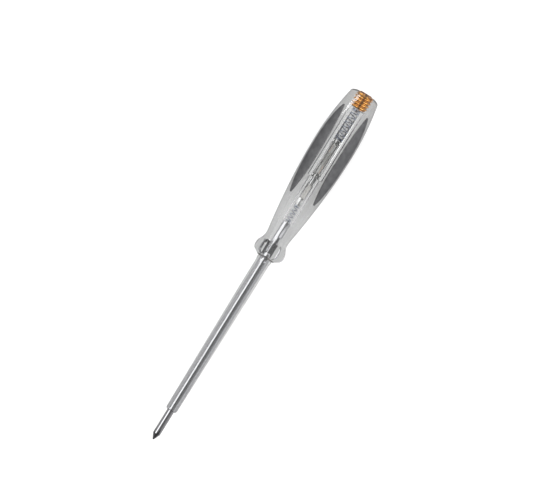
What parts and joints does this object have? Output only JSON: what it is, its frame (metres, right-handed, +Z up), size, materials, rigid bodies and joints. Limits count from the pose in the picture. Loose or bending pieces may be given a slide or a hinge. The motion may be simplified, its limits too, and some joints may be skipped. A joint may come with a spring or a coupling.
{
  "type": "voltage tester screwdriver",
  "caption": "Slim cross-tip screwdriver with a sleeved blade, a clear swelling handle with soft inlays, and a spring-loaded resistor and glow lamp behind a brass touch screw.",
  "frame": {"origin": "on the ground, under the middle of the box that the tool fills when it lies with its axis level", "axes": "+X along the tool's axis from the blade's point to the touch screw, +Z up out of the front face, +Y to the left seen from the point"},
  "size_m": [0.19, 0.02, 0.02],
  "materials": {
    "handle_plastic": "clear, polished",
    "inlay_rubber": "soft, matt, dark grey",
    "blade_steel": "bright plated",
    "sleeve_plastic": "clear, smooth",
    "spring_wire": "drawn wire",
    "resistor_ceramic": "glazed ceramic",
    "resistor_tin": "tinned",
    "lamp_glass": "clear",
    "lamp_plate": "nickel plated",
    "lamp_nickel": "matt nickel",
    "lamp_dumet": "copper-clad wire",
    "screw_brass": "turned brass"
  },
  "bodies": {
    "handle": {"handle_body": "handle_plastic", "grip_inlay_upper_left": "inlay_rubber", "grip_inlay_upper_right": "inlay_rubber", "grip_inlay_lower_left": "inlay_rubber", "grip_inlay_lower_right": "inlay_rubber", "blade": "blade_steel", "blade_sleeve": "sleeve_plastic", "front_spring": "spring_wire"},
    "contact_stack": {"resistor_body": "resistor_ceramic", "resistor_front_cap": "resistor_tin", "resistor_rear_cap": "resistor_tin", "lamp_glass": "lamp_glass", "lamp_front_cap": "lamp_plate", "lamp_rear_cap": "lamp_plate", "lamp_front_electrode": "lamp_nickel", "lamp_rear_electrode": "lamp_nickel", "lamp_front_lead": "lamp_dumet", "lamp_rear_lead": "lamp_dumet"},
    "spring_follower": {"rear_spring": "spring_wire"},
    "touch_screw": {"end_screw": "screw_brass"}
  },
  "joints": [
    {"name": "stack_slide", "type": "slide", "parent": "handle", "child": "contact_stack", "axis": [1, 0, 0], "range_m": [0, 0.0035], "deforming": ["front_spring"]},
    {"name": "screw_travel", "type": "slide", "parent": "contact_stack", "child": "spring_follower", "axis": [1, 0, 0], "range_m": [0, 0.0035], "deforming": ["rear_spring"]},
    {"name": "screw_turn", "type": "hinge", "parent": "spring_follower", "child": "touch_screw", "pos_m": [0.0905, 0, 0.01], "axis": [1, 0, 0], "range_deg": [0, 1575]}
  ],
  "couplings": [
    {"joint": "screw_travel", "follows": "stack_slide", "ratio": 1},
    {"joint": "screw_turn", "follows": "stack_slide", "rad_per_m": 7854}
  ]
}
